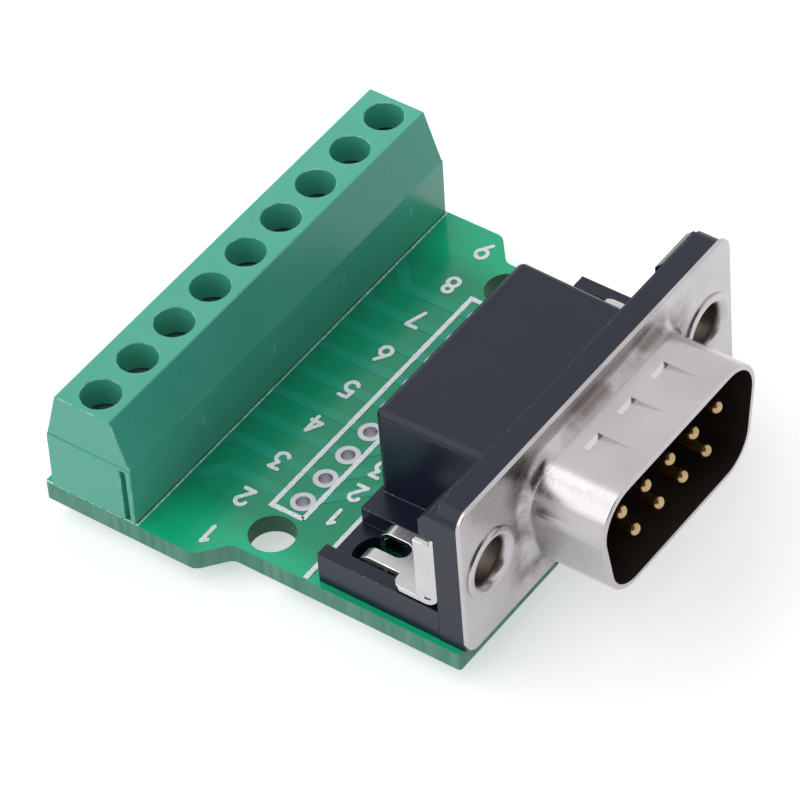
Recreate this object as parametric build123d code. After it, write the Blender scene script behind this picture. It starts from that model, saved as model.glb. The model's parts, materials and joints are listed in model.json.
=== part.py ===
from build123d import *
from math import radians, tan
import os

# Adapter board: a 9-way male D-sub at the front (-Y), a 9-way screw terminal block at the
# back (+Y), and a row of nine plated header holes between them. Millimetres, +Z up.
# The origin is on the underside of the board, midway between its two mounting holes.

ways = 9

# Circuit board
board_thickness = 1.5
board_end_margin = 0.05
board_front_margin = 0.4
board_back_y = 15.75
board_front_y = -16.55
board_taper_back_y = 3.35
board_taper_front_y = 1.65
board_corner_radius = 0.25
board_taper_radius = 0.9
mounting_hole_radius = 1.65
mounting_hole_half_spacing = 13.55

# Header row
header_pitch = 2.54
header_y = 0.0
header_hole_radius = 0.5
plating_wall = 0.05
header_pad_radius = 0.86
pad_thickness = 0.04

# Solder side
tail_length = 1.5
solder_height = 1.0

# Terminal block, with heights above the board and depths along Y from the screw axis
terminal_pitch = 3.96
terminal_screw_y = 11.41
terminal_end_wall = 1.83
terminal_height = 8.85
terminal_break_height = 4.9
terminal_top_front = -2.06
terminal_top_back = 2.49
terminal_break_front = -3.36
terminal_break_back = 3.59
terminal_foot_front = -3.26
terminal_foot_back = 3.69
terminal_edge_radius = 0.15
end_panel_proud = 0.08
driver_hole_radius = 1.4
screw_head_radius = 1.65
screw_head_height = 1.0
screw_head_top = 6.45
screw_shank_radius = 1.2
screw_slot_width = 0.45
screw_slot_depth = 0.42
screw_head_clearance = 0.05
thread_clearance = 0.05
tip_clearance = 0.03
shoulder_clearance = 0.05
bar_underside = 2.7
bar_thickness = 0.5
bar_width = 1.5
bar_reach = 1.5
leg_thickness = 0.6
leg_width = 0.9
leg_front = -2.65
leg_hole_radius = 0.65
cage_length = 3.4
cage_wall = 0.35
cage_floor = 0.6
cage_bottom = 0.35
cage_plate = 0.75
cage_gap = 0.05
cage_travel = 1.4
cage_side_clearance = 0.08
cage_corner_radius = 0.35
entry_width = 2.5
entry_height = 1.8
entry_mouth_width = 3.1
entry_mouth_height = 2.6
entry_funnel_depth = 0.7
interlock_slot_width = 0.45
interlock_slot_depth = 0.9
interlock_slot_front = -2.89
interlock_slot_height = 4.68
interlock_rib_reach = 0.35
interlock_fit = 0.05

# D-sub, with heights above the board and depths along Y from the front of its flange
flange_front_y = -17.1
flange_width = 31.0
flange_height = 12.55
flange_thickness = 0.3
flange_edge_radius = 0.1
flange_corner_radius = 1.2
shell_centre_height = 6.13
shell_outer_half_width = 8.86
shell_outer_height = 9.16
shell_corner_radius = 3.0
shell_side_angle = 10.0
shell_wall = 0.4
shell_reach = 6.2
shell_root_radius = 0.9
shell_rim_radius = 0.12
dimple_spacing = 3.8
dimple_width = 1.6
dimple_length = 2.9
dimple_depth = 0.28
dimple_start = 1.95
rivet_half_spacing = 12.495
rivet_hole_radius = 1.65
rivet_outer_radius = 1.95
rivet_clearance = 0.02
rivet_head_radius = 2.55
rivet_head_height = 0.22
rivet_mouth_radius = 2.15
rivet_mouth_depth = 0.7
rivet_tail_radius = 2.4
rivet_tail_height = 0.3

contact_pitch = 2.77
contact_row_spacing = 2.84
contact_radius = 0.51
contact_tip_reach = 5.7
contact_tail_radius = 0.35
contact_bend_radius = 0.8
contact_seat_clearance = 0.01
contact_hole_radius = 0.5

backing_thickness = 2.05
backing_margin = 0.15
backing_height = 12.3
backing_step = 0.3
backing_step_half_width = 13.7
insulator_clearance = 0.03
insulator_depth = 3.4
boss_depth = 3.4
boss_low = 9.15
boss_high = 11.3
boss_inner = 11.6
boss_chamfer = 0.6
body_front_half_width = 8.15
body_back_half_width = 8.4
body_low = 2.55
body_high = 9.9
body_back_y = -5.2
body_edge_radius = 0.6
body_wall = 0.5
base_half_width = 10.4
base_back_y = -5.1
tray_margin = 0.05
tray_rail = 1.1
tray_floor = 1.3
tray_back_rail = 1.0

lock_half_spacing = 12.42
lock_y = -7.7
lock_thickness = 0.4
lock_plate_gap = 0.05
lock_plate_rim = 0.3
lock_foot_gap = 0.1
lock_plate_top = 9.1
lock_bend_radius = 0.7
lock_ear_end = 6.2
lock_ear_radius = 0.8
lock_prong_width = 1.0
lock_slot_width = 1.4
lock_slot_end = 6.6
lock_leg_half_width = 1.6
lock_hole_radius = 1.7
lock_lug_depth = 1.7
lock_lug_inset = 0.15
lock_barb = 0.25
tray_hole_radius = 1.85
tray_hole_shift = 0.3

# Derived places
deck = board_thickness
tail_z = -tail_length
terminal_half_length = (ways - 1) / 2 * terminal_pitch + terminal_end_wall
board_back_half_width = terminal_half_length + end_panel_proud + board_end_margin
terminal_x = [(i - (ways - 1) / 2) * terminal_pitch for i in range(ways)]
header_x = [(i - (ways - 1) / 2) * header_pitch for i in range(ways)]
shell_centre_z = deck + shell_centre_height
upper_row_z = shell_centre_z + contact_row_spacing / 2
lower_row_z = shell_centre_z - contact_row_spacing / 2
upper_tail_y = lock_y + contact_row_spacing / 2
lower_tail_y = lock_y - contact_row_spacing / 2
backing_half_width = flange_width / 2 - backing_margin
board_front_half_width = backing_half_width + board_front_margin
tray_half_width = backing_half_width - tray_margin
backing_front_y = flange_front_y + flange_thickness
backing_back_y = flange_front_y + backing_thickness
lock_plate_front_y = backing_back_y + backing_step + lock_plate_gap
lock_plate_back_y = lock_plate_front_y + lock_thickness
lock_plate_inner = rivet_half_spacing - rivet_tail_radius - lock_plate_rim
lock_plate_outer = rivet_half_spacing + rivet_tail_radius + lock_plate_rim
screw_head_low = screw_head_top - screw_head_height
bar_top = bar_underside + bar_thickness
cage_width = 2 * (screw_shank_radius + thread_clearance + cage_wall)
cage_height = bar_top + cage_gap + cage_plate - cage_bottom
cavity_top = cage_bottom + cage_height + cage_travel + cage_gap
leg_y = terminal_screw_y + leg_front + leg_thickness / 2


def contact_places():
    """Each contact's number, x, row height and tail y: five above, four below between them."""
    places = []
    for i in range(5):
        places.append((i + 1, (i - 2) * contact_pitch, upper_row_z, upper_tail_y))
    for i in range(4):
        places.append((i + 6, (i - 1.5) * contact_pitch, lower_row_z, lower_tail_y))
    return places


def block(x, y, z):
    """A box given by its low and high limits along each axis."""
    centre = Pos((x[0] + x[1]) / 2, (y[0] + y[1]) / 2, (z[0] + z[1]) / 2)
    return centre * Box(x[1] - x[0], y[1] - y[0], z[1] - z[0])


def upright(radius, x, y, low, high):
    """A cylinder along Z."""
    return Pos(x, y, (low + high) / 2) * Cylinder(radius, high - low)


def along_y(radius, x, z, front, back):
    """A cylinder along Y."""
    return Pos(x, (front + back) / 2, z) * Rot(90, 0, 0) * Cylinder(radius, back - front)


def side_profile(points, low_x, high_x):
    """A solid from a closed outline of (y, z) points, carried along X."""
    face = Plane.YZ * make_face(Polyline(*points, close=True))
    return Pos(low_x, 0, 0) * extrude(face, high_x - low_x)


def circuit_board():
    back = [(-board_back_half_width, board_back_y), (board_back_half_width, board_back_y)]
    taper_right = [
        (board_back_half_width, board_taper_back_y),
        (board_front_half_width, board_taper_front_y),
    ]
    front = [(board_front_half_width, board_front_y), (-board_front_half_width, board_front_y)]
    taper_left = [
        (-board_front_half_width, board_taper_front_y),
        (-board_back_half_width, board_taper_back_y),
    ]
    face = make_face(Polyline(*back, *taper_right, *front, *taper_left, close=True))
    corners = face.vertices().sort_by(Axis.Y)
    face = fillet(corners[:2] + corners[-2:], board_corner_radius)
    inner = [v for v in face.vertices() if board_taper_front_y - 0.1 < v.Y < board_taper_back_y + 0.1]
    face = fillet(inner, board_taper_radius)
    board = extrude(face, board_thickness)
    holes = [(x, 0, mounting_hole_radius) for x in (-mounting_hole_half_spacing, mounting_hole_half_spacing)]
    holes += [(x, header_y, header_hole_radius + plating_wall) for x in header_x]
    holes += [(x, leg_y, leg_hole_radius) for x in terminal_x]
    holes += [(x, tail_y, contact_hole_radius) for _, x, _, tail_y in contact_places()]
    holes += [(x, lock_y, lock_hole_radius) for x in (-lock_half_spacing, lock_half_spacing)]
    for x, y, radius in holes:
        board -= upright(radius, x, y, 0, board_thickness)
    return board


def header_plated_holes():
    outer = header_hole_radius + plating_wall
    top = board_thickness + pad_thickness
    ring = [
        (header_hole_radius, -pad_thickness),
        (header_pad_radius, -pad_thickness),
        (header_pad_radius, 0),
        (outer, 0),
        (outer, board_thickness),
        (header_pad_radius, board_thickness),
        (header_pad_radius, top),
        (header_hole_radius, top),
    ]
    barrel = revolve(Plane.XZ * make_face(Polyline(*ring, close=True)), Axis.Z)
    return Compound([Pos(x, header_y, 0) * barrel for x in header_x])


def terminal_housing():
    profile = [
        (terminal_foot_front, 0),
        (terminal_break_front, terminal_break_height),
        (terminal_top_front, terminal_height),
        (terminal_top_back, terminal_height),
        (terminal_break_back, terminal_break_height),
        (terminal_foot_back, 0),
    ]
    face = make_face(Polyline(*profile, close=True))
    face = fillet([v for v in face.vertices() if v.Y > 0.1], terminal_edge_radius)
    place = Pos(0, terminal_screw_y, deck)
    housing = place * extrude(Plane.YZ * face, terminal_half_length, both=True)
    lower = place * extrude(Plane.YZ * face, terminal_half_length + end_panel_proud, both=True)
    keep = 2 * terminal_half_length
    housing += lower & block((-keep, keep), (0, 2 * terminal_screw_y), (deck, deck + terminal_break_height))

    head_bore = screw_head_radius + screw_head_clearance
    half_cage = cage_width / 2 + cage_side_clearance
    half_length = cage_length / 2 + cage_side_clearance
    shoulder = deck + screw_head_top + shoulder_clearance
    wall_back = terminal_screw_y + terminal_foot_back
    entry_z = deck + cage_bottom + cage_floor + entry_height / 2
    for x in terminal_x:
        housing -= upright(driver_hole_radius, x, terminal_screw_y, deck, deck + terminal_height)
        housing -= upright(head_bore, x, terminal_screw_y, deck, shoulder)
        cavity_y = (terminal_screw_y - half_length, terminal_screw_y + half_length)
        housing -= block((x - half_cage, x + half_cage), cavity_y, (deck, deck + cavity_top))
        slot_y = (terminal_screw_y + leg_front - thread_clearance, terminal_screw_y)
        slot_x = (x - bar_width / 2 - thread_clearance, x + bar_width / 2 + thread_clearance)
        housing -= block(slot_x, slot_y, (deck, deck + bar_top + thread_clearance))
        throat = Plane.XZ * Rectangle(entry_width, entry_height)
        mouth = Plane.XZ * Rectangle(entry_mouth_width, entry_mouth_height)
        funnel = loft([Pos(0, -entry_funnel_depth, 0) * throat, Pos(0, end_panel_proud, 0) * mouth])
        housing -= Pos(x, wall_back, entry_z) * funnel
        entry_x = (x - entry_width / 2, x + entry_width / 2)
        entry_height_range = (entry_z - entry_height / 2, entry_z + entry_height / 2)
        housing -= block(entry_x, (terminal_screw_y, wall_back), entry_height_range)

    end = terminal_half_length + end_panel_proud
    slot_front = terminal_screw_y + interlock_slot_front
    slot_y = (slot_front, slot_front + interlock_slot_width)
    slot_z = (deck, deck + interlock_slot_height)
    housing -= block((-end, -end + interlock_slot_depth), slot_y, slot_z)
    rib_y = (slot_y[0] + interlock_fit, slot_y[1] - interlock_fit)
    housing += block((end - end_panel_proud, end + interlock_rib_reach), rib_y, slot_z)
    return housing


def terminal_screw(x):
    head_low = deck + screw_head_low
    head_top = deck + screw_head_top
    tip = deck + bar_top + tip_clearance
    head = upright(screw_head_radius, x, terminal_screw_y, head_low, head_top)
    head = chamfer(head.edges().group_by(Axis.Z)[-1], 0.12)
    slot_x = (x - screw_slot_width / 2, x + screw_slot_width / 2)
    slot_y = (terminal_screw_y - screw_head_radius, terminal_screw_y + screw_head_radius)
    head -= block(slot_x, slot_y, (head_top - screw_slot_depth, head_top))
    shank = upright(screw_shank_radius, x, terminal_screw_y, tip, head_low)
    shank = chamfer(shank.edges().group_by(Axis.Z)[0], 0.2)
    return head + shank


def wire_clamp(x):
    low = deck + cage_bottom
    high = low + cage_height
    half_length = cage_length / 2
    cage_y = (terminal_screw_y - half_length, terminal_screw_y + half_length)
    cage = block((x - cage_width / 2, x + cage_width / 2), cage_y, (low, high))
    cage = fillet(cage.edges().filter_by(Axis.Y), cage_corner_radius)
    half_window = cage_width / 2 - cage_wall
    window_z = (low + cage_floor, high - cage_plate)
    cage -= block((x - half_window, x + half_window), cage_y, window_z)
    cage -= upright(screw_shank_radius + thread_clearance, x, terminal_screw_y, high - cage_plate, high)
    return cage


def terminal_pin(x):
    front = leg_y - leg_thickness / 2
    back = leg_y + leg_thickness / 2
    low = deck + bar_underside
    bar = block((x - bar_width / 2, x + bar_width / 2), (front, terminal_screw_y + bar_reach), (low, deck + bar_top))
    bar = fillet(bar.edges().filter_by(Axis.X).sort_by(Axis.Z)[-2:].sort_by(Axis.Y)[0], leg_thickness / 2)
    leg = block((x - leg_width / 2, x + leg_width / 2), (front, back), (tail_z, low))
    leg = chamfer(leg.edges().group_by(Axis.Z)[0], 0.15)
    return bar + leg


def d_outline(half_width, height, radius):
    """A D outline in (x, z): wide side up, sides leaning in downwards, round corners.

    The half width is the greatest one, which lies where the corner arc runs upright."""
    lean = radians(shell_side_angle)
    corner = half_width + radius * (tan(radians(45) + lean / 2) - 1)
    foot = corner - height * tan(lean)
    points = [(-foot, -height / 2), (foot, -height / 2), (corner, height / 2), (-corner, height / 2)]
    face = make_face(Polyline(*points, close=True))
    return fillet(face.vertices(), radius)


def forward_solid(face, start_y, end_y):
    """A solid from an (x, z) face about the shell's centre, from start_y back to end_y."""
    placed = Plane((0, end_y, shell_centre_z), x_dir=(1, 0, 0), z_dir=(0, -1, 0)) * face
    return extrude(placed, end_y - start_y)


def dimples(inset):
    """Ramped wedges for the pressed dimples, three above and two below."""
    front = flange_front_y - dimple_start - dimple_length
    back = flange_front_y - dimple_start
    deepest = back - dimple_depth
    half_height = shell_outer_height / 2 - inset
    solids = []
    for side, columns in ((1, (-1, 0, 1)), (-1, (-0.5, 0.5))):
        face_z = shell_centre_z + side * half_height
        ramp = [(front, face_z), (back, face_z), (deepest, face_z - side * dimple_depth)]
        for column in columns:
            x = column * dimple_spacing
            solids.append(side_profile(ramp, x - dimple_width / 2, x + dimple_width / 2))
    return solids


def dsub_shell():
    plate_face = fillet(Rectangle(flange_width, flange_height).vertices(), flange_corner_radius)
    plate = forward_solid(plate_face, flange_front_y, flange_front_y + flange_thickness)
    plate = fillet(plate.edges().group_by(Axis.Y)[0], flange_edge_radius)
    outer_face = d_outline(shell_outer_half_width, shell_outer_height, shell_corner_radius)
    inner_face = offset(outer_face, -shell_wall)
    rim_y = flange_front_y - shell_reach
    shell = plate + forward_solid(outer_face, rim_y, flange_front_y + flange_thickness)
    on_flange = [e for e in shell.edges() if abs(e.center().Y - flange_front_y) < 0.001]
    root = [e for e in on_flange if abs(e.center().X) < shell_outer_half_width + 0.5 and
            abs(e.center().Z - shell_centre_z) < shell_outer_height / 2 + 0.01]
    shell = fillet(root, shell_root_radius)
    shell = fillet(shell.edges().group_by(Axis.Y)[0], shell_rim_radius)
    for wedge in dimples(0):
        shell -= wedge
    shell -= forward_solid(inner_face, rim_y, flange_front_y + flange_thickness)
    for wedge in dimples(shell_wall):
        shell += wedge
    for x in (-rivet_half_spacing, rivet_half_spacing):
        hole = rivet_outer_radius + rivet_clearance
        shell -= along_y(hole, x, shell_centre_z, flange_front_y, flange_front_y + flange_thickness)
    return shell


def dsub_housing():
    backing_x = (-backing_half_width, backing_half_width)
    housing = block(backing_x, (backing_front_y, backing_back_y), (deck, deck + backing_height))
    top_corners = housing.edges().filter_by(Axis.Y).sort_by(Axis.Z)[-2:]
    housing = fillet(top_corners, flange_corner_radius)
    step_z = (deck, deck + backing_height - backing_step)
    step_x = (-backing_step_half_width, backing_step_half_width)
    step_back = backing_back_y + backing_step
    housing += block(step_x, (backing_back_y, step_back), step_z)
    housing += block(backing_x, (backing_back_y, step_back), (deck, deck + boss_low))

    plan = [
        (-body_front_half_width, backing_back_y),
        (body_front_half_width, backing_back_y),
        (body_back_half_width, body_back_y),
        (-body_back_half_width, body_back_y),
    ]
    body = extrude(make_face(Polyline(*plan, close=True)), body_high - tray_floor)
    body = Pos(0, 0, deck + tray_floor) * body
    back_edges = body.edges().filter_by(Axis.Z).sort_by(Axis.Y)[-2:]
    top_edges = [e for e in body.edges().group_by(Axis.Z)[-1] if e.center().Y > backing_back_y + 0.1]
    body = fillet(list(back_edges) + list(top_edges), body_edge_radius)
    housing += body
    base = block((-base_half_width, base_half_width), (backing_back_y, base_back_y), (deck, deck + body_low))
    hole_y = lock_y - tray_hole_shift
    for x in (-lock_half_spacing, lock_half_spacing):
        base -= upright(tray_hole_radius, x, hole_y, deck, deck + body_low)
    housing += base

    for side in (-1, 1):
        outer = side * tray_half_width
        rail = side * (tray_half_width - tray_rail)
        tray_x = sorted((side * base_half_width, outer))
        rail_x = sorted((rail, outer))
        housing += block(tray_x, (backing_back_y, base_back_y), (deck, deck + tray_floor))
        housing += block(rail_x, (backing_back_y, base_back_y), (deck, deck + body_low))
        housing -= upright(tray_hole_radius, side * lock_half_spacing, hole_y, deck, deck + tray_floor)
        boss = [
            (backing_back_y, deck + boss_low),
            (flange_front_y + boss_depth, deck + boss_low),
            (flange_front_y + boss_depth, deck + boss_high - boss_chamfer),
            (flange_front_y + boss_depth - boss_chamfer, deck + boss_high),
            (backing_back_y, deck + boss_high),
        ]
        boss_x = sorted((side * boss_inner, side * backing_half_width))
        housing += side_profile(boss, boss_x[0], boss_x[1])
        hole = rivet_outer_radius + rivet_clearance
        housing -= along_y(hole, side * rivet_half_spacing, shell_centre_z, backing_front_y, step_back)

    plug_face = offset(d_outline(shell_outer_half_width, shell_outer_height, shell_corner_radius),
                       -shell_wall - insulator_clearance)
    housing += forward_solid(plug_face, flange_front_y, backing_back_y)
    insulator_back_y = flange_front_y + insulator_depth
    hollow_x = (-body_front_half_width + body_wall, body_front_half_width - body_wall)
    housing -= block(hollow_x, (insulator_back_y, body_back_y - body_wall), (deck, deck + body_high - body_wall))
    for _, x, z, _ in contact_places():
        hole = contact_radius + contact_seat_clearance
        housing -= along_y(hole, x, z, flange_front_y, insulator_back_y)
    return housing


def dsub_contact(x, row_z, tail_y):
    tip_y = flange_front_y - contact_tip_reach
    step_y = flange_front_y + insulator_depth
    front = along_y(contact_radius, x, row_z, tip_y, step_y)
    front = fillet(front.edges().group_by(Axis.Y)[0], contact_radius * 0.95)
    path = FilletPolyline((x, step_y, row_z), (x, tail_y, row_z), (x, tail_y, tail_z), radius=contact_bend_radius)
    section = Plane((x, step_y, row_z), z_dir=(0, 1, 0)) * Circle(contact_tail_radius)
    return front + sweep(section, path=path)


def flange_rivet(x):
    """A hollow rivet: trumpet mouth in front, tube through the flange, flare at the back."""
    back = lock_plate_back_y - flange_front_y
    front = [
        (rivet_outer_radius, 0),
        (rivet_head_radius, 0),
        (rivet_head_radius, -rivet_head_height / 2),
    ]
    lines = [
        Polyline(*front),
        ThreePointArc(front[-1], (rivet_head_radius - 0.12, -rivet_head_height + 0.02),
                      (rivet_mouth_radius + 0.1, -rivet_head_height)),
        Line((rivet_mouth_radius + 0.1, -rivet_head_height), (rivet_mouth_radius, -rivet_head_height)),
        ThreePointArc((rivet_mouth_radius, -rivet_head_height), (rivet_hole_radius + 0.1, 0.12),
                      (rivet_hole_radius, rivet_mouth_depth)),
        Polyline((rivet_hole_radius, rivet_mouth_depth), (rivet_hole_radius, back + rivet_tail_height),
                 (rivet_outer_radius, back + rivet_tail_height), (rivet_tail_radius, back + 0.1),
                 (rivet_tail_radius, back), (rivet_outer_radius, back), (rivet_outer_radius, 0)),
    ]
    face = make_face(Wire.combine([edge for line in lines for edge in line.edges()])[0])
    ring = revolve(face, Axis.Y)
    return Pos(x, flange_front_y, shell_centre_z) * ring


def board_lock(side):
    """A stamped bracket: plate behind the flange, foot on the tray, fork down into the board."""
    centre = lock_half_spacing
    foot_low = body_low + lock_foot_gap
    foot_top = foot_low + lock_thickness
    front = lock_plate_front_y
    back = lock_plate_back_y
    bend = lock_bend_radius
    leg_back = lock_y + lock_thickness / 2
    leg_front_y = lock_y - lock_thickness / 2
    foot_start = back + bend
    foot_end = leg_front_y - bend
    half_slot = lock_slot_width / 2
    prong_outer = half_slot + lock_prong_width
    ear_end = flange_front_y + lock_ear_end

    plate = block((lock_plate_inner, lock_plate_outer), (front, back), (foot_top + bend, lock_plate_top))
    top_corners = plate.edges().filter_by(Axis.Y).sort_by(Axis.Z)[-2:]
    plate = fillet(top_corners, lock_ear_radius)
    plate -= along_y(rivet_outer_radius + rivet_clearance, rivet_half_spacing, shell_centre_height, front, back)

    ear = block((lock_plate_inner, lock_plate_outer), (foot_start, ear_end), (foot_low, foot_top))
    ear = fillet(ear.edges().filter_by(Axis.Z).sort_by(Axis.Y)[-2:], lock_ear_radius)
    tongue = block((centre - prong_outer, centre + prong_outer), (foot_start, foot_end), (foot_low, foot_top))
    lug_x = (lock_plate_outer - lock_thickness, lock_plate_outer)
    lug_y = (front + lock_lug_inset, front + lock_lug_depth)
    lug = block(lug_x, lug_y, (foot_low + bend, lock_plate_top - lock_ear_radius))
    lug += block(lug_x, (foot_start, lug_y[1]), (foot_low, foot_low + bend))

    def quarter(inner_point, start_angle, low_x, high_x):
        """A quarter bend of the sheet about a line along X."""
        ring = Circle(bend + lock_thickness) - Circle(bend)
        reach = 2 * (bend + lock_thickness)
        corner = Rectangle(reach, reach, align=(Align.MIN, Align.MIN))
        arc = Rot(0, 0, start_angle) * (ring & corner)
        placed = Plane((low_x, inner_point[0], inner_point[1]), x_dir=(0, 1, 0), z_dir=(1, 0, 0)) * arc
        return extrude(placed, high_x - low_x)

    lower_bend = quarter((foot_start, foot_top + bend), 180, lock_plate_inner, lock_plate_outer)
    fork_bend = quarter((foot_end, foot_low - bend), 0, centre - prong_outer, centre + prong_outer)

    tip = tail_z - deck
    below = -board_thickness
    leg = lock_leg_half_width
    leg_points = [
        (prong_outer, foot_low - bend),
        (leg, tray_floor),
        (leg, below),
        (leg + lock_barb, below - 0.35),
        (leg - 0.2, tip),
        (half_slot, tip),
        (half_slot, foot_low - bend),
    ]
    leg_face = make_face(Polyline(*leg_points, close=True))
    placed_leg = Plane((centre, leg_back, 0), x_dir=(1, 0, 0), z_dir=(0, -1, 0)) * leg_face
    outer_leg = extrude(placed_leg, lock_thickness)
    inner_leg = Pos(2 * centre, 0, 0) * mirror(outer_leg, Plane.YZ)

    lock = plate + lower_bend + ear + tongue + lug + fork_bend + outer_leg + inner_leg
    slot_start = flange_front_y + lock_slot_end
    slot_x = (centre - half_slot, centre + half_slot)
    lock -= block(slot_x, (slot_start + half_slot, leg_back + 1), (foot_low - bend, foot_top))
    lock -= upright(half_slot, centre, slot_start + half_slot, foot_low, foot_top)
    lock = Pos(0, 0, deck) * lock
    if side < 0:
        lock = mirror(lock, Plane.YZ)
    return lock


def fillet_of_solder(base_radius, top_radius):
    """A hollow-sided cone of solder under the board, about Z."""
    middle = ((base_radius + 2 * top_radius) / 3, -solder_height * 0.3)
    lines = [
        Line((0, 0), (base_radius, 0)),
        ThreePointArc((base_radius, 0), middle, (top_radius, -solder_height)),
        Polyline((top_radius, -solder_height), (0, -solder_height), (0, 0)),
    ]
    face = make_face(Wire.combine([edge for line in lines for edge in line.edges()])[0])
    return revolve(Plane.XZ * face, Axis.Z)


def terminal_solder_joints():
    joint = fillet_of_solder(leg_hole_radius + 0.45, leg_hole_radius - 0.05)
    leg_x = (-leg_width / 2, leg_width / 2)
    leg_y_range = (-leg_thickness / 2, leg_thickness / 2)
    joint -= block(leg_x, leg_y_range, (-2 * solder_height, solder_height))
    return Compound([Pos(x, leg_y, 0) * joint for x in terminal_x])


def contact_solder_joints():
    joint = fillet_of_solder(contact_hole_radius + 0.4, contact_tail_radius + 0.12)
    joint -= upright(contact_tail_radius, 0, 0, -2 * solder_height, solder_height)
    return Compound([Pos(x, tail_y, 0) * joint for _, x, _, tail_y in contact_places()])


def board_lock_solder_joints(locks):
    joint = fillet_of_solder(lock_hole_radius + 0.5, lock_leg_half_width - 0.05)
    joints = []
    for x, lock in zip((-lock_half_spacing, lock_half_spacing), locks):
        joints.append(Pos(x, lock_y, 0) * joint - lock)
    return Compound([solid for joint in joints for solid in joint.solids()])


def main():
    os.makedirs("parts", exist_ok=True)
    locks = [board_lock(-1), board_lock(1)]
    pieces = {
        "circuit_board": circuit_board(),
        "header_plated_holes": header_plated_holes(),
        "terminal_housing": terminal_housing(),
        "terminal_solder_joints": terminal_solder_joints(),
        "dsub_shell": dsub_shell(),
        "dsub_housing": dsub_housing(),
        "contact_solder_joints": contact_solder_joints(),
        "board_lock_left": locks[0],
        "board_lock_right": locks[1],
        "board_lock_solder_joints": board_lock_solder_joints(locks),
        "flange_rivet_left": flange_rivet(-rivet_half_spacing),
        "flange_rivet_right": flange_rivet(rivet_half_spacing),
    }
    for number, x in enumerate(terminal_x, 1):
        pieces[f"terminal_screw_{number}"] = terminal_screw(x)
        pieces[f"wire_clamp_{number}"] = wire_clamp(x)
        pieces[f"terminal_pin_{number}"] = terminal_pin(x)
    for number, x, row_z, tail_y in contact_places():
        pieces[f"dsub_contact_{number}"] = dsub_contact(x, row_z, tail_y)
    for name, piece in pieces.items():
        export_step(piece, f"parts/{name}.step")


main()
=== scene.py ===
import json
import math

import bmesh
import bpy
import numpy as np
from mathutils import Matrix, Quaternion, Vector


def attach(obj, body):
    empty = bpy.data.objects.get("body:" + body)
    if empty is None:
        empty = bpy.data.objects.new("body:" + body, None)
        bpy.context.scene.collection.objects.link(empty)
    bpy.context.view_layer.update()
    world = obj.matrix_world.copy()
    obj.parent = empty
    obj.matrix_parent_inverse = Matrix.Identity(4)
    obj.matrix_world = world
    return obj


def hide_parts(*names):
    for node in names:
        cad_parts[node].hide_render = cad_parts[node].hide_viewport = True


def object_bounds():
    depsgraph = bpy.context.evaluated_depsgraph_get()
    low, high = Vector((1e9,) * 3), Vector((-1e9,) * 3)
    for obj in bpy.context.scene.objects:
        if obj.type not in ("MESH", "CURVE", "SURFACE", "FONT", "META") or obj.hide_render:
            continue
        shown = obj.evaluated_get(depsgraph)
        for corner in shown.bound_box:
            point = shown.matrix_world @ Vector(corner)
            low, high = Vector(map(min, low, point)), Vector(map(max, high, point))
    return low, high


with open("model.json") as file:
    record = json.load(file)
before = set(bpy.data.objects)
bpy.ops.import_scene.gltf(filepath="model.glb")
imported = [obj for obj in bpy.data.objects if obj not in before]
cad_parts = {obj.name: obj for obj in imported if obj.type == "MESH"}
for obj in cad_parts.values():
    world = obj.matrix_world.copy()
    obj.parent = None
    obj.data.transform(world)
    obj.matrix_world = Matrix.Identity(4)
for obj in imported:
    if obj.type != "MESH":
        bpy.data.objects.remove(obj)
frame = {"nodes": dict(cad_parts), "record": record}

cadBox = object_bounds()
mm = 0.001  # named lengths are in millimetres, the scene is in metres
ways = 9
upperWays = 5  # contacts 1 to 5 are in the D-sub's upper row
bodyOf = {node: body for body, nodes in frame["record"]["behaviour"]["bodies"].items() for node in nodes}


def linear(hexColour):
    # sRGB hex to linear light, channel by channel
    channels = []
    for start in (0, 2, 4):
        value = int(hexColour[start:start + 2], 16) / 255
        channels.append(value / 12.92 if value <= 0.04045 else ((value + 0.055) / 1.055) ** 2.4)
    return (*channels, 1.0)


def addNode(tree, kind, settings=None, inputs=None):
    # a node with its settings; an input that is a socket becomes a link
    node = tree.nodes.new("ShaderNode" + kind)
    for name, value in (settings or {}).items():
        setattr(node, name, value)
    for name, value in (inputs or {}).items():
        if isinstance(value, bpy.types.NodeSocket):
            tree.links.new(value, node.inputs[name])
        else:
            node.inputs[name].default_value = value
    return node


def maths(tree, operation, *values):
    # each value is a number or a socket
    return addNode(tree, "Math", {"operation": operation}, dict(enumerate(values))).outputs[0]


def ranged(tree, value, low, high, first=0.0, last=1.0):
    # low to high becomes first to last, and what lies outside is held at the ends
    return addNode(tree, "MapRange", None, {0: value, 1: low, 2: high, 3: first, 4: last}).outputs[0]


def blended(tree, share, first, second):
    # a colour from first to second; each is sRGB hex or a socket
    ends = [linear(colour) if isinstance(colour, str) else colour for colour in (first, second)]
    return addNode(tree, "Mix", {"data_type": "RGBA"}, {0: share, 6: ends[0], 7: ends[1]}).outputs[2]


def blendedValue(tree, share, first, second):
    return addNode(tree, "Mix", {"data_type": "FLOAT"}, {0: share, 2: first, 3: second}).outputs[0]


def mapped(tree, spot, inputs):
    return addNode(tree, "Mapping", None, {"Vector": spot, **inputs}).outputs[0]


def axes(tree, vector):
    return addNode(tree, "SeparateXYZ", None, {0: vector}).outputs


def noise(tree, spot, size, detail):
    # smooth noise with features about size mm across
    inputs = {"Vector": spot, "Scale": 1 / (size * mm), "Detail": detail}
    return addNode(tree, "TexNoise", None, inputs).outputs[0]


def bumped(tree, height, strength, distance):
    inputs = {"Height": height, "Strength": strength, "Distance": distance * mm}
    return addNode(tree, "Bump", None, inputs).outputs[0]


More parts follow.
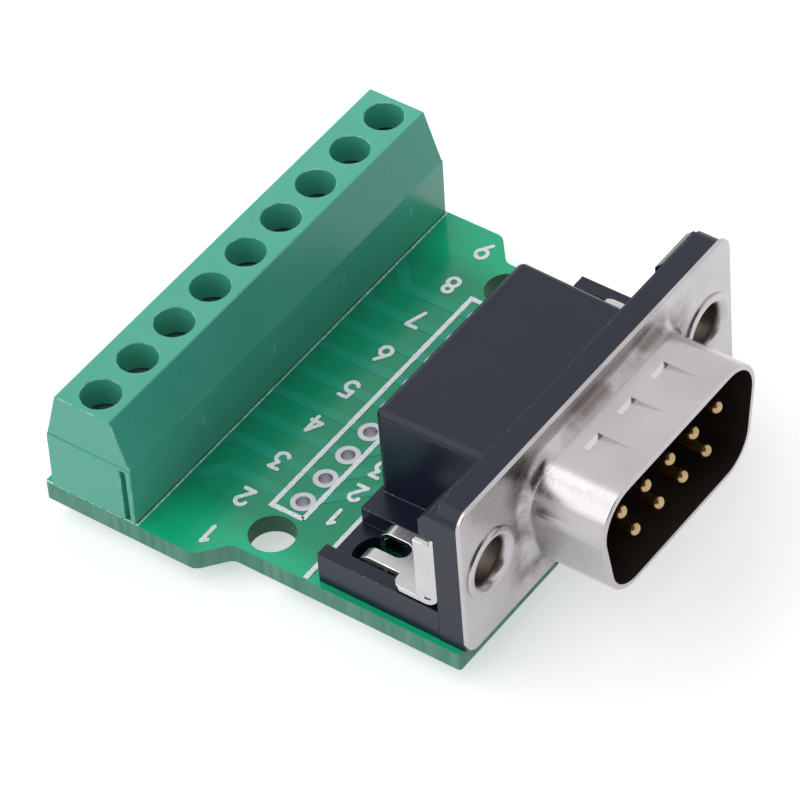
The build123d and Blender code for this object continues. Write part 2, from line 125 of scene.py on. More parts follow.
def dust(tree, spot, spacing, radius, share, seed=0.0):
    # round specks: one possible speck in each cell, kept where the cell's own number is high
    place = mapped(tree, spot, {"Location": (seed, seed * 0.7, seed * 1.3)})
    cells = addNode(tree, "TexVoronoi", None, {"Vector": place, "Scale": 1 / (spacing * mm)}).outputs
    near = maths(tree, "LESS_THAN", cells["Distance"], radius / spacing)
    number = addNode(tree, "SeparateColor", None, {0: cells["Color"]}).outputs[0]
    return maths(tree, "MULTIPLY", near, maths(tree, "GREATER_THAN", number, 1 - share))


def scratches(tree, spot, width, length, turn, share):
    # fine straight lines: noise drawn out along one way, kept only at its peaks
    drawn = mapped(tree, spot, {"Scale": (1, width / length, 1), "Rotation": turn})
    return ranged(tree, noise(tree, drawn, width, 0.0), 0.84 - share, 0.92 - share)


def newMaterial(name, metallic, roughness=None, ior=1.5):
    # roughness is left out where a link gives it
    material = bpy.data.materials.new(name)
    material.use_nodes = True
    tree = material.node_tree
    shader = tree.nodes["Principled BSDF"]
    shader.inputs["Metallic"].default_value = metallic
    if roughness is not None:
        shader.inputs["Roughness"].default_value = roughness
    if not metallic:
        shader.inputs["IOR"].default_value = ior
    return material, tree, shader


def feed(tree, shader, colour, rough=None, normal=None):
    # links what varies over the surface to the shader
    for name, socket in (("Base Color", colour), ("Roughness", rough), ("Normal", normal)):
        if socket is not None:
            tree.links.new(socket, shader.inputs[name])


def finishPiece(piece, material, node=None, body=None, edges=None):
    piece.data.materials.clear()
    piece.data.materials.append(material)
    if edges:
        piece.data.materials.append(edges)
    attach(piece, body or bodyOf[node])
    if node:
        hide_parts(node)


def meshPiece(name, points, faces):
    # points and faces as whole arrays, points in millimetres
    mesh = bpy.data.meshes.new(name)
    mesh.vertices.add(len(points))
    mesh.vertices.foreach_set("co", (np.asarray(points, float) * mm).ravel())
    faces = np.asarray(faces, np.int32)
    mesh.loops.add(faces.size)
    mesh.loops.foreach_set("vertex_index", faces.ravel())
    mesh.polygons.add(len(faces))
    mesh.polygons.foreach_set("loop_start", np.arange(0, faces.size, faces.shape[1], dtype=np.int32))
    mesh.polygons.foreach_set("use_smooth", np.ones(len(faces), bool))
    mesh.update(calc_edges=True)
    mesh.validate()
    piece = bpy.data.objects.new(name, mesh)
    bpy.context.scene.collection.objects.link(piece)
    return piece


merging = {
    "double": 0.0005,  # points nearer than this are one
    "sliver": 0.02,  # edges shorter than this go, where a bevel follows
    "flat": 0.5,  # degrees; faces that turn less than this become one
    "room": 1.5,  # a face takes a bevel where it is this many times as wide
    "segments": 2,
}


def markEdges(shape, steep, room):
    # a bevel goes on the edges steeper than steep whose two faces are both wide enough to take it
    weight = shape.edges.layers.float.new("bevel_weight_edge")
    for edge in shape.edges:
        if len(edge.link_faces) == 2 and edge.calc_face_angle() > steep:
            narrow = min(face.calc_area() for face in edge.link_faces)
            edge[weight] = float(narrow > room * edge.calc_length())


def mergedCopy(node, bevel, angle, wornAndLit):
    # the CAD shape with its doubles merged, and where it gets a bevel, its flat faces made whole
    mesh = frame["nodes"][node].data.copy()
    shape = bmesh.new()
    shape.from_mesh(mesh)
    bmesh.ops.remove_doubles(shape, verts=shape.verts, dist=merging["double"] * mm)
    if bevel:
        flat = math.radians(merging["flat"])
        bmesh.ops.dissolve_degenerate(shape, dist=merging["sliver"] * mm, edges=shape.edges)
        bmesh.ops.dissolve_limit(shape, angle_limit=flat, verts=shape.verts, edges=shape.edges)
        markEdges(shape, math.radians(angle), merging["room"] * bevel * mm)
    shape.to_mesh(mesh)
    shape.free()
    if "custom_normal" in mesh.attributes:
        mesh.attributes.remove(mesh.attributes["custom_normal"])
    mesh.polygons.foreach_set("use_smooth", np.ones(len(mesh.polygons), bool))
    mesh.set_sharp_from_angle(angle=math.radians(angle))
    piece = bpy.data.objects.new(node + "_finished", mesh)
    bpy.context.scene.collection.objects.link(piece)
    if bevel:
        cut = piece.modifiers.new("edges", "BEVEL")
        cut.width = bevel * mm
        cut.segments = merging["segments"]
        cut.limit_method = "WEIGHT"
        cut.use_clamp_overlap = False
        # the bevels take the second material: pale wear together with a painted highlight
        cut.material = 1 if wornAndLit else -1
        even = piece.modifiers.new("even", "WEIGHTED_NORMAL")
        even.keep_sharp = True
    return piece


# Camera, solved from the photograph
cameraPlace = {
    "position": (-194.14, -158.11, 252.42),
    "azimuth": -50.82,  # degrees, as are the next two
    "elevation": 44.97,
    "roll": 5.01,
    "lens": 238.0,
    "shift": (0.0119, 0.0015),
}


def placeCamera(place):
    data = bpy.data.cameras.new("photoCamera")
    data.lens = place["lens"]
    data.sensor_width = 36
    data.shift_x, data.shift_y = place["shift"]
    data.clip_start = 0.01
    data.clip_end = 20
    camera = bpy.data.objects.new("photoCamera", data)
    bpy.context.scene.collection.objects.link(camera)
    across, up = math.radians(place["azimuth"]), math.radians(place["elevation"])
    back = Vector((math.cos(up) * math.sin(across), -math.cos(up) * math.cos(across), math.sin(up)))
    roll = Quaternion((0, 0, 1), math.radians(-place["roll"]))
    camera.rotation_mode = "QUATERNION"
    camera.rotation_quaternion = back.to_track_quat("Z", "Y") @ roll
    camera.location = Vector(place["position"]) * mm
    bpy.context.scene.camera = camera


placeCamera(cameraPlace)
bpy.context.scene.view_settings.view_transform = "Standard"
print("stage: camera")

# Soft boxes: place, size, power in W, and whether shiny surfaces see them
lamps = {
    "keyLamp": ((-800, 640, 1050), 1900, 11.6, True),  # high on the left
    "fillLamp": ((-150, -520, 300), 500, 0.1, True),
    "farLamp": ((70, 60, 90), 80, 0.034, False),  # for the end away from the camera
}

# Sky, floor and card
stage = {
    "skyLevel": 0.44,  # what the sky gives to dull surfaces
    "skyColour": "F2F6FF",
    "floorHalf": 1500,
    "floorColour": "EDEDED",
    "floorGlow": 0.5,
    "cardPlace": (-430, -330, 560),
    "cardSize": 1000,
    "cardColour": "5A5652",
    "roughness": 0.9,
}


def softBox(name, place, size, power, shiny):
    lamp = bpy.data.lights.new(name, "AREA")
    lamp.shape = "SQUARE"
    lamp.size = size * mm
    lamp.energy = power
    box = bpy.data.objects.new(name, lamp)
    box.location = Vector(place) * mm
    box.rotation_euler = box.location.to_track_quat("Z", "Y").to_euler()
    box.visible_glossy = shiny
    bpy.context.scene.collection.objects.link(box)


def seenRays(tree):
    # 1 for what the camera, a gloss or a clear material sees
    rays = addNode(tree, "LightPath").outputs
    seen = maths(tree, "MAXIMUM", rays["Is Camera Ray"], rays["Is Glossy Ray"])
    return maths(tree, "MAXIMUM", seen, rays["Is Transmission Ray"])


def spreadSky(stage):
    # white where it is seen, dimmer where it only lights
    world = bpy.data.worlds.new("whiteRoom")
    bpy.context.scene.world = world
    world.use_nodes = True
    tree = world.node_tree
    tree.nodes.clear()
    dim = {"Color": linear(stage["skyColour"]), "Strength": stage["skyLevel"]}
    sky = addNode(tree, "Background", None, dim).outputs[0]
    white = addNode(tree, "Background", None, {"Color": (1, 1, 1, 1), "Strength": 1.0}).outputs[0]
    both = addNode(tree, "MixShader", None, {0: seenRays(tree), 1: sky, 2: white})
    addNode(tree, "OutputWorld", None, {"Surface": both.outputs[0]})


def stageSheet(name, corners, colour):
    # a square of the stage, with corners in mm
    sheet = meshPiece(name, corners, [(0, 1, 2, 3)])
    material, tree, shader = newMaterial(name, 0, stage["roughness"])
    shader.inputs["Base Color"].default_value = linear(colour)
    sheet.data.materials.append(material)
    return sheet, tree, shader


def layFloor(stage):
    half, low = stage["floorHalf"], cadBox[0][2] / mm
    corners = [(-half, -half, low), (half, -half, low), (half, half, low), (-half, half, low)]
    floor, tree, shader = stageSheet("floor", corners, stage["floorColour"])
    shader.inputs["Emission Color"].default_value = (1, 1, 1, 1)
    glow = maths(tree, "MULTIPLY", seenRays(tree), stage["floorGlow"])
    tree.links.new(glow, shader.inputs["Emission Strength"])


def hangCard(stage):
    # a grey card that only shiny surfaces see, so that round metal shows its shape
    away = Vector(stage["cardPlace"])
    across = away.cross(Vector((0, 0, 1))).normalized() * stage["cardSize"] / 2
    up = across.cross(away).normalized() * stage["cardSize"] / 2
    corners = [away - across - up, away + across - up, away + across + up, away - across + up]
    card = stageSheet("greyCard", corners, stage["cardColour"])[0]
    card.visible_camera = card.visible_diffuse = card.visible_shadow = False


for name, lamp in lamps.items():
    softBox(name, *lamp)
spreadSky(stage)
layFloor(stage)
hangCard(stage)
print("stage: floor and light")

mask = {
    "middleLacquer": ("05976B", "09A276"),  # the mask between the ends
    # painted light: the mask is painted lighter towards the board's ends, where the block's shadow does not
    # reach and the lacquer shows more reflection
    "clear": ("08B87E", "10CA94"),
    "paintedLightFrom": 12.8,  # |x| where the mask starts to turn from one to the other, into the painted light
    "paintedLightTo": 15.2,
    "mountShadeX": 13.55,  # painted shade: the mounting holes' walls, painted darker, are within the half width below of here and of y = 0
    "mountShadeHalf": 1.75,
}


def maskedLaminate(mask):
    # epoxy glass laminate under green solder mask: glossy lacquer on both faces, sawn grey-green glass edge;
    # painted light makes the top lighter towards the ends, and painted shade darkens the mounting holes'
    # walls
    material, tree, shader = newMaterial("maskedLaminate", 0, ior=1.45)
    where = addNode(tree, "TexCoord").outputs
    spot = where["Object"]
    up = axes(tree, where["Normal"])[2]
    face = maths(tree, "GREATER_THAN", maths(tree, "ABSOLUTE", up), 0.5)
    above = maths(tree, "GREATER_THAN", up, 0.5)
    place = axes(tree, spot)
    away = maths(tree, "ABSOLUTE", place[0])
    cloud = noise(tree, spot, 6, 2.0)
    # painted light: the top turns to the lighter colour towards the ends
    ends = ranged(tree, away, mask["paintedLightFrom"] * mm, mask["paintedLightTo"] * mm)
    bare = maths(tree, "MULTIPLY", ends, above)
    lacquer = blended(tree, bare, blended(tree, cloud, *mask["middleLacquer"]), blended(tree, cloud, *mask["clear"]))
    speckled = blended(tree, dust(tree, spot, 1.6, 0.045, 0.25), lacquer, "7FC7A4")
    grain = noise(tree, mapped(tree, spot, {"Scale": (1, 1, 0.12)}), 0.5, 4.0)
    sawn = blended(tree, ranged(tree, grain, 0.3, 0.7), "3F8A70", "6FA38D")
    # painted shade: the mounting holes' walls are painted darker
    across = maths(tree, "COMPARE", away, mask["mountShadeX"] * mm, mask["mountShadeHalf"] * mm)
    along = maths(tree, "COMPARE", place[1], 0.0, mask["mountShadeHalf"] * mm)
    edge = blended(tree, maths(tree, "MULTIPLY", across, along), sawn, "2E6A50")
    colour = blended(tree, face, edge, speckled)
    rough = ranged(tree, face, 0.0, 1.0, 0.55, 0.13)
    feed(tree, shader, colour, rough, bumped(tree, noise(tree, spot, 0.35, 2.0), 0.08, 0.02))
    return material


def maskOverCopper():
    # solder mask over a copper track: the same lacquer, a little paler and less green than over bare laminate
    material, tree, shader = newMaterial("maskOverCopper", 0, 0.15, 1.45)
    spot = addNode(tree, "TexCoord").outputs["Object"]
    feed(tree, shader, blended(tree, noise(tree, spot, 3, 2.0), "139F7A", "1EAA86"))
    return material


def printInk():
    # white screen-printed ink: matt, slightly blue where it is thin
    material, tree, shader = newMaterial("printInk", 0, 0.5)
    spot = addNode(tree, "TexCoord").outputs["Object"]
    cover = ranged(tree, noise(tree, spot, 0.25, 3.0), 0.35, 0.5)
    feed(tree, shader, blended(tree, cover, "E2EEF4", "FFFFFF"))
    return material


block = {
    "markFirst": -9.9,  # x of the first pale mark low on the front
    "markPitch": 7.92,
    "markCount": 4,
    "markHeight": 4.6,
    "markSize": (0.2, 0.5),  # half width and half height
    "front": 8.9,  # the marks lie in front of this y
}


def ejectorMarks(tree, spot, block):
    # ragged pale ovals on the block's front, one to every second way, where the mould's pins touched it:
    # the squares of the way across and up, each as a share of the half size, and noise, below a limit
    place = axes(tree, spot)
    pitch = block["markPitch"] * mm
    start = block["markFirst"] * mm - pitch / 2
    span = block["markCount"] / 2 * pitch
    ends = maths(tree, "COMPARE", place[0], start + span, span)
    across = maths(tree, "WRAP", place[0], start + pitch, start)
    middles = (start + pitch / 2, block["markHeight"] * mm)
    squares = []
    for socket, middle, half in zip((across, place[2]), middles, block["markSize"]):
        share = maths(tree, "DIVIDE", maths(tree, "SUBTRACT", socket, middle), half * mm)
        squares.append(maths(tree, "MULTIPLY", share, share))
    rag = noise(tree, spot, 0.3, 2.0)
    oval = ranged(tree, maths(tree, "MULTIPLY_ADD", rag, 2.2, maths(tree, "ADD", *squares)), 2.3, 1.3)
    ahead = maths(tree, "LESS_THAN", place[1], block["front"] * mm)
    return maths(tree, "MULTIPLY", oval, maths(tree, "MULTIPLY", ahead, ends))


def mouldedGreen(block):
    # green polyamide, moulded: satin with a faint flow texture, pale specks, scratches and ejector marks
    material, tree, shader = newMaterial("mouldedGreenNylon", 0)
    spot = addNode(tree, "TexCoord").outputs["Object"]
    cloud = noise(tree, spot, 5, 3.0)
    body = blended(tree, cloud, "4AB296", "58BFA4")
    specks = dust(tree, spot, 1.3, 0.05, 0.18, 3.0)
    lines = scratches(tree, spot, 0.16, 9, (0.3, 0.2, 0.7), 0.05)
    faint = maths(tree, "MULTIPLY", lines, ranged(tree, cloud, 0.5, 0.6, 0.0, 0.55))
    pale = maths(tree, "MAXIMUM", maths(tree, "MAXIMUM", specks, faint), ejectorMarks(tree, spot, block))
    colour = blended(tree, maths(tree, "MULTIPLY", pale, 0.5), body, "A6DCCB")
    rough = ranged(tree, cloud, 0.0, 1.0, 0.22, 0.36)
    feed(tree, shader, colour, rough, bumped(tree, noise(tree, spot, 0.12, 3.0), 0.12, 0.01))
    return material


def mouldedBlack():
    # glass-filled black polyester, moulded: dark slate satin with tiny pale fibres and dust at the surface
    material, tree, shader = newMaterial("mouldedBlackPolyester", 0, 0.3, 1.43)
    spot = addNode(tree, "TexCoord").outputs["Object"]
    body = blended(tree, noise(tree, spot, 3, 4.0), "0A1222", "111B33")
    specks = maths(tree, "MULTIPLY", dust(tree, spot, 0.9, 0.035, 0.15, 5.0), 0.55)
    bump = bumped(tree, noise(tree, spot, 0.1, 4.0), 0.25, 0.01)
    feed(tree, shader, blended(tree, specks, body, "A9AEBB"), normal=bump)
    return material


shell = {
    "axisZ": 7.63,  # height of the shell's and the rivets' own axes
    "inside": (0, 0.3, 0.9, "544C46"),  # painted shade on the shell's inner walls: x of the axis, how near and far the walls are, and their colour
    # painted shade in the rivets' bores: x of the axis, how near and far the walls are, and their colour
    "rivetBoreShade": (12.495, 1.45, 1.62, "756B64"),
    "footSize": (8.6, 4.3),  # half width and half height of the shell where it meets the flange
    "footShadeReach": 2.4,  # how far the painted shade reaches over the flange round that foot
    "flange": (-18.3, -17.4),  # y from where to where the painted shade comes in
    "pressedReach": 5.5,  # the dimples lie this near the middle
    "pressedBack": -18.6,  # and in front of this y
}


def boreShadeMask(tree, where, middleX, near, far):
    # 1 on the walls that look towards the line x = +-middleX at axisZ, from near to far mm away, as in a
    # bore: where shade is painted inside bores
    place, look = axes(tree, where["Object"]), axes(tree, where["Normal"])
    middle = maths(tree, "MULTIPLY", maths(tree, "SIGN", place[0]), middleX * mm)
    across = maths(tree, "SUBTRACT", place[0], middle)
    up = maths(tree, "SUBTRACT", place[2], shell["axisZ"] * mm)
    inward = maths(tree, "MULTIPLY_ADD", up, look[2], maths(tree, "MULTIPLY", across, look[0]))
    return ranged(tree, inward, -near * mm, -far * mm)


def paintedFootShade(tree, where, shell):
    # painted shade: 1 on the flange beside the foot of the shell, fading with the distance from it, in blots
    place = axes(tree, mapped(tree, where["Object"], {"Location": (0, 0, -shell["axisZ"] * mm)}))
    overs = []
    for axis, size in zip((0, 2), shell["footSize"]):
        over = maths(tree, "SUBTRACT", maths(tree, "ABSOLUTE", place[axis]), size * mm)
        overs.append(maths(tree, "MAXIMUM", over, 0.0))
    square = maths(tree, "MULTIPLY", overs[0], overs[0])
    far = maths(tree, "SQRT", maths(tree, "MULTIPLY_ADD", overs[1], overs[1], square))
    near = ranged(tree, far, shell["footShadeReach"] * mm, 0.0)
    flat = ranged(tree, place[1], *(y * mm for y in shell["flange"]))
    blot = ranged(tree, noise(tree, where["Object"], 2.6, 3.0), 0.38, 0.62)
    return maths(tree, "MULTIPLY", maths(tree, "MULTIPLY", near, flat), blot)


def paintedDimpleShading(tree, where, shell):
    # where the dimples' shading is painted: the upright walls of the pressed dimples, and their sloping backs
    place, look = axes(tree, where["Object"]), axes(tree, where["Normal"])
    inner = maths(tree, "LESS_THAN", maths(tree, "ABSOLUTE", place[0]), shell["pressedReach"] * mm)
    ahead = maths(tree, "LESS_THAN", place[1], shell["pressedBack"] * mm)
    inside = maths(tree, "MULTIPLY", inner, ahead)
    upright = maths(tree, "GREATER_THAN", maths(tree, "ABSOLUTE", look[0]), 0.8)
    slope = maths(tree, "COMPARE", look[1], -0.7, 0.1)
    return maths(tree, "MULTIPLY", upright, inside), maths(tree, "MULTIPLY", slope, inside)


def brightPlate(name, low, high, gloss, pits=0.2, boreShade=None, pressing=None):
    # plated sheet steel, pressed after rolling: soft mirror with fine rolling lines and a few dark pits;
    # painted shade inside bores and beside the shell's foot, and painted shading on the dimples
    material, tree, shader = newMaterial(name, 1)
    where = addNode(tree, "TexCoord").outputs
    spot = where["Object"]
    plate = blended(tree, noise(tree, spot, 4, 3.0), low, high)
    spots = maths(tree, "MULTIPLY", dust(tree, spot, 1.4, 0.06, pits, 7.0), 0.6)
    colour = blended(tree, spots, plate, "6B5F55")
    lines = noise(tree, mapped(tree, spot, {"Scale": (0.06, 1, 1)}), 0.12, 3.0)
    rough = ranged(tree, lines, 0.3, 0.7, gloss - 0.05, gloss + 0.08)
    # painted shade: the flange is painted darker in blots beside the shell's foot
    if pressing:
        colour = blended(tree, paintedFootShade(tree, where, pressing), colour, "594C48")
    # painted shade: the walls inside the bore are painted darker
    if boreShade:
        dark = boreShadeMask(tree, where, *boreShade[:3])
        colour = blended(tree, dark, colour, boreShade[3])
        rough = blendedValue(tree, dark, rough, 0.45)
    # painted shade and painted highlight: the dimples' upright walls are painted greyer and their sloping
    # backs lighter
    if pressing:
        walls, backs = paintedDimpleShading(tree, where, pressing)
        colour = blended(tree, backs, blended(tree, walls, colour, "BDB9BB"), "D6D4D9")
        rough = blendedValue(tree, walls, rough, 0.4)
    feed(tree, shader, colour, rough, bumped(tree, lines, 0.06, 0.01))
    return material


def wornAndLitEdge(name, metallic, under, paleWearAndHighlight, roughness, share, size):
    # an edge rubbed in handling, with a painted highlight: thin and broken, paler than the face where the
    # noise is high
    material, tree, shader = newMaterial(name, metallic, roughness)
    wearAndHighlight = noise(tree, addNode(tree, "TexCoord").outputs["Object"], size, 4.0)
    feed(tree, shader, blended(tree, ranged(tree, wearAndHighlight, 0.62 - share, 0.72 - share), under, paleWearAndHighlight))
    return material


def softMetal(name, low, high, gloss, size):
    # plated or soldered small parts: a smooth metal skin, a little cloudy
    material, tree, shader = newMaterial(name, 1)
    cloud = noise(tree, addNode(tree, "TexCoord").outputs["Object"], size, 3.0)
    rough = ranged(tree, cloud, 0.0, 1.0, gloss - 0.06, gloss + 0.1)
    feed(tree, shader, blended(tree, cloud, low, high), rough)
    return material


laminate = maskedLaminate(mask)
copperMask = maskOverCopper()
ink = printInk()
green = mouldedGreen(block)
black = mouldedBlack()
nickel = brightPlate("nickelPlatedSteel", "B4AEAE", "CCC9CB", 0.24, boreShade=shell["inside"], pressing=shell)
rivetNickel = brightPlate("nickelPlatedRivet", "B4AEAE", "CCC9CB", 0.22, boreShade=shell["rivetBoreShade"])
tinned = brightPlate("tinPlatedSteel", "BDBBBE", "DAD8D8", 0.24, 0.3)
# the bevels' paler colour is partly wear and partly painted highlight
greenEdge = wornAndLitEdge("wornAndLitGreenEdge", 0, "4EB69B", "A4DCCB", 0.35, 0.12, 0.7)
blackEdge = wornAndLitEdge("wornAndLitBlackEdge", 0, "141821", "8C909C", 0.4, 0.02, 0.25)
tinEdge = wornAndLitEdge("wornAndLitTinEdge", 1, "C4C2C4", "F2F1F3", 0.14, 0.1, 1.2)
gold = softMetal("goldPlatedBrass", "A98C5F", "C9AE84", 0.22, 0.8)
padTin = softMetal("tinnedCopper", "BFBEC6", "D9D8E0", 0.34, 0.6)
solder = softMetal("tinSolder", "B9B9B8", "D6D6D4", 0.2, 0.9)
zinc = softMetal("zincPlatedSteel", "9FA1A6", "C0C2C6", 0.32, 0.8)
brassTin = softMetal("tinPlatedBrass", "B9B3A8", "D2CCC0", 0.3, 0.8)
print("stage: materials")

# Finishes by the start of a CAD shape's name: material, bevel, smoothing angle, material of the bevels
finishes = {
    "circuit_board": (laminate, 0.0, 40, None),
    "terminal_housing": (green, 0.06, 32, greenEdge),
    "dsub_shell": (nickel, 0.0, 30, None),
    "dsub_housing": (black, 0.045, 35, blackEdge),
    "board_lock": (tinned, 0.05, 35, tinEdge),  # the locks and the solder about them
    "flange_rivet": (rivetNickel, 0.0, 40, None),
    "header_plated_holes": (padTin, 0.0, 40, None),
    "terminal_solder_joints": (solder, 0.0, 60, None),
    "contact_solder_joints": (solder, 0.0, 60, None),
    "terminal_pin": (brassTin, 0.0, 35, None),
    "terminal_screw": (zinc, 0.0, 35, None),
    "wire_clamp": (zinc, 0.0, 35, None),
    "dsub_contact": (gold, 0.0, 40, None),
}

for node in frame["nodes"]:
    for start, (material, bevel, angle, edges) in finishes.items():
        if node.startswith(start):
            finishPiece(mergedCopy(node, bevel, angle, bool(edges)), material, node, edges=edges)
            break
print("stage: finished solids")

board = {
    "top": 1.5,
    "headerPitch": 2.54,
    "terminalPitch": 3.96,
    "contactPitch": 2.77,
    "terminalPads": 9.06,  # y of the terminal pins
    "upperTails": -6.28,  # y of the legs of contacts 1 to 5
    "lowerTails": -9.12,  # and of 6 to 9
    "sharp": 20,  # degrees; the raised print and tracks keep the edges steeper than this
}


def rowPlace(number, first, last, pitch):
    # x of one of a row's numbers, first to last, with the row's middle at x = 0
    return (number - (first + last) / 2) * pitch


def gridFaces(rows, columns):
    # four corners for each cell of a rows by columns grid of points
    r, c = np.meshgrid(np.arange(rows - 1), np.arange(columns - 1), indexing="ij")
    here = r * columns + c
    return np.stack([here, here + 1, here + 1 + columns, here + columns], -1).reshape(-1, 4)


def ribbon(path, width, low, high, slope=0.0, ragged=0.0, seed=1, caps=False, rise=0.0):
    # a flat strip: the path's points, moved each way along the mitred normal by half the width; its foot
    # spreads by slope, its edge wavers by the share ragged, caps make its ends round, its top climbs by rise
    path = np.asarray(path, float)
    capPoints = 5
    quarter = np.linspace(0, math.pi / 2, capPoints + 1)
    if caps:
        first = (path[0] - path[1]) / np.linalg.norm(path[0] - path[1])
        last = (path[-1] - path[-2]) / np.linalg.norm(path[-1] - path[-2])
        ends = width / 2 * np.sin(quarter)
        path = np.vstack([path[0] + first * ends[:0:-1, None], path, path[-1] + last * ends[1:, None]])
    along = np.diff(path, axis=0)
    along /= np.linalg.norm(along, axis=1)[:, None]
    ahead = np.vstack([along, along[-1:]])
    behind = np.vstack([along[:1], along])
    mean = ahead + behind
    mean /= np.linalg.norm(mean, axis=1)[:, None]
    across = np.stack([-mean[:, 1], mean[:, 0]], 1)
    stretch = 1 / np.clip((mean * ahead).sum(1), 0.5, 1)
    half = np.full(len(path), width / 2)
    if caps:
        tip = width / 2 * np.cos(quarter)
        half[:capPoints] = tip[:0:-1]
        half[-capPoints:] = tip[1:]
    if ragged:
        half = half * (1 + ragged * np.random.default_rng(seed).uniform(-1, 1, len(half)))
    sides = np.array([-1, -1, 1, 1.0])  # foot and top on one side, then top and foot on the other
    spread = np.array([slope, 0, 0, slope])
    move = (half * stretch)[:, None] * sides + spread * sides
    flat = path[:, None, :] + across[:, None, :] * move[..., None]
    climb = np.linspace(0, rise, len(path))[:, None] * np.array([0, 1, 1, 0])
    tall = np.array([low, high, high, low]) + climb
    return np.concatenate([flat, tall[..., None]], -1).reshape(-1, 3), gridFaces(len(path), len(sides))


def joined(parts):
    # several strips as one set of points and faces
    points, faces, count = [], [], 0
    for somePoints, someFaces in parts:
        points.append(somePoints)
        faces.append(someFaces + count)
        count += len(somePoints)
    return np.vstack(points), np.vstack(faces)


def layOnBoard(name, points, faces, material):
    piece = meshPiece(name, points, faces)
    piece.data.set_sharp_from_angle(angle=math.radians(board["sharp"]))
    finishPiece(piece, material, body="adapter")


def denser(path, step):
    # the same line with a point at least every step
    path = np.asarray(path, float)
    pieces = []
    for a, b in zip(path[:-1], path[1:]):
        count = max(1, int(math.ceil(np.linalg.norm(b - a) / step)))
        pieces.append(a + (b - a) * np.linspace(0, 1, count, endpoint=False)[:, None])
    return np.vstack(pieces + [path[-1:]])


def arc(centre, radius, first, last, count=12):
    # along an ellipse: the centre, and the radii times the cosine and the sine of the angle
    angles = np.radians(np.linspace(first, last, count))
    return np.stack([centre[0] + radius[0] * np.cos(angles), centre[1] + radius[1] * np.sin(angles)], 1)


# Pen strokes of the digits in a box 0.85 wide and 1.5 high
digitMiddle = (0.42, 0.75)
digits = {
    1: [
        [(0.15, 1.2), (0.45, 1.5)],
        [(0.45, 1.5), (0.45, 0)],
    ],
    2: [
        [*arc((0.42, 1.12), (0.38, 0.38), 175, -20), (0.04, 0)],
        [(0.04, 0), (0.82, 0)],
    ],
    3: [
        [(0.08, 1.5), (0.76, 1.5)],
        [(0.76, 1.5), (0.4, 0.92)],
        [(0.4, 0.92), *arc((0.38, 0.45), (0.42, 0.45), 75, -150)],
    ],
    4: [
        [(0.62, 1.5), (0.02, 0.45)],
        [(0.02, 0.45), (0.85, 0.45)],
        [(0.62, 1.5), (0.62, 0)],
    ],
    5: [
        [(0.78, 1.5), (0.14, 1.5)],
        [(0.14, 1.5), (0.08, 0.85)],
        [(0.08, 0.85), *arc((0.38, 0.48), (0.42, 0.46), 100, -150)],
    ],
    6: [[(0.66, 1.5), *arc((0.42, 0.45), (0.4, 0.45), 160, 520, 22)]],
    7: [
        [(0.04, 1.5), (0.82, 1.5)],
        [(0.82, 1.5), (0.3, 0)],
    ],
    8: [
        arc((0.42, 0.42), (0.4, 0.42), 90, 450, 24),
        arc((0.42, 1.16), (0.33, 0.33), -90, 270, 20),
    ],
    9: [[(0.18, 0), *arc((0.42, 1.05), (0.4, 0.45), -20, 340, 22)]],
}

lettering = {
    "height": 0.055,  # over the tracks too
    "penWidth": 0.29,
    "penStep": 0.12,
    "ragged": 0.12,
    "layer": 0.008,  # each stroke of a digit lies this much above the one before
    "rise": 0.006,  # and climbs by this from its start to its end
    "terminalDigits": (3.57, 1.0),  # y of their middle, and size
    "headerDigits": (-2.6, 0.94),
    "outlineWidth": 0.36,
    "outlineStep": 0.25,
    "outlines": [
        [(-11.43, -0.95), (11.53, -0.95), (11.53, 1.6), (-11.43, 1.6), (-11.43, -0.95)],  # round the header
        [(-15.65, -4.2), (15.65, -4.2)],  # beside the connector
    ],
    "footWidth": 0.08,
    "footRagged": 0.6,
    "foot": [(-17.7, 15.62), (-17.7, 7.98), (17.7, 7.98), (17.7, 15.62)],  # round the terminal block
}


def printBoard(board, lettering):
    # the digits are read from the +X side: their own x runs along +Y and their own y along -X
    top = board["top"]
    high = top + lettering["height"]
    pen, step, ragged = lettering["penWidth"], lettering["penStep"], lettering["ragged"]
    strips = []
    seed = 1
    for row in ("terminal", "header"):
        middle, size = lettering[row + "Digits"]
        for number in range(1, ways + 1):
            x = rowPlace(number, 1, ways, board[row + "Pitch"])
            for layer, stroke in enumerate(digits[number]):
                wide, tall = ((np.asarray(stroke, float) - digitMiddle) * size).T
                path = denser(np.stack([x - tall, middle + wide], 1), step)
                crest = high + lettering["layer"] * layer
                strips.append(ribbon(path, pen, top, crest, 0, ragged, seed, True, lettering["rise"]))
                seed += 1
    for outline in lettering["outlines"]:
        path = denser(outline, lettering["outlineStep"])
        strips.append(ribbon(path, lettering["outlineWidth"], top, high, 0, ragged, seed))
        seed += 1
    path = denser(lettering["foot"], step)
    strips.append(ribbon(path, lettering["footWidth"], top, high, 0, lettering["footRagged"], seed))
    layOnBoard("boardPrint", *joined(strips), ink)


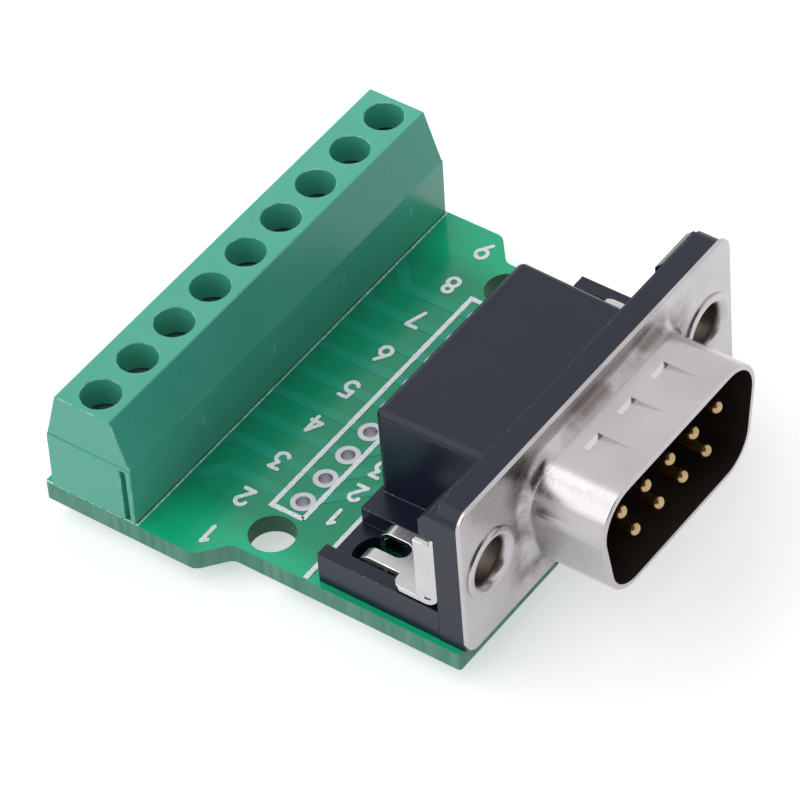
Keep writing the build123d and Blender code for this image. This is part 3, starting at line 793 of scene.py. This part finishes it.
tracks = {
    "widthAbove": 0.95,
    "widthBelow": 0.5,
    "height": 0.035,
    "slope": 0.03,  # how far each side spreads from its top to its foot
    "sunk": 0.01,  # the foot lies this deep in the board
    "start": 0.6,  # y where the tracks to the terminals start, at the pad's ring
    "slant": 11.8,  # a track turns to its terminal this far up, less what it has to go across
    "padReach": 0.48,  # the others start this far across and down, under the ring
    "turn": 2.6,  # the lower tracks slant this far out of the header, and again before their tails
}


def trackPaths(board, tracks):
    # top: header to terminals, and header 1 to 5 to the upper contacts;
    # bottom: header 6 to 9 to the lower contacts
    top, bottom = [], []
    pads, turn = board["terminalPads"], tracks["turn"]
    for number in range(1, ways + 1):
        header = rowPlace(number, 1, ways, board["headerPitch"])
        terminal = rowPlace(number, 1, ways, board["terminalPitch"])
        shift = abs(terminal - header)
        path = [(header, tracks["start"])]
        if shift:
            bend = tracks["slant"] - shift
            reach = min(pads - bend, shift)
            path += [(header, bend), (header + math.copysign(1, header) * reach, bend + reach)]
        top.append(path + [(terminal, pads)])
        if number <= upperWays:
            tail = rowPlace(number, 1, upperWays, board["contactPitch"])
            run = abs(tail - header)
            lead = math.copysign(min(run, tracks["padReach"]), tail - header)
            top.append([(header + lead, -abs(lead)), (tail, -run), (tail, board["upperTails"])])
        else:
            tail = rowPlace(number, upperWays + 1, ways, board["contactPitch"])
            lead = tracks["padReach"]
            path = [(header - lead, -lead), (header - turn, -turn), (tail + turn, -turn)]
            bottom.append(path + [(tail, -2 * turn), (tail, board["lowerTails"])])
    return top, bottom


def layTracks(board, tracks):
    height, slope, sunk = tracks["height"], tracks["slope"], tracks["sunk"]
    foot, crest = board["top"] - sunk, board["top"] + height
    wide, narrow = tracks["widthAbove"] - 2 * slope, tracks["widthBelow"] - 2 * slope
    top, bottom = trackPaths(board, tracks)
    layOnBoard("tracksAbove", *joined([ribbon(path, wide, foot, crest, slope) for path in top]), copperMask)
    points, faces = joined([ribbon(path, narrow, sunk, -height, slope) for path in bottom])
    layOnBoard("tracksBelow", points, faces[:, ::-1], copperMask)


printBoard(board, lettering)
layTracks(board, tracks)
print("stage: print and tracks")
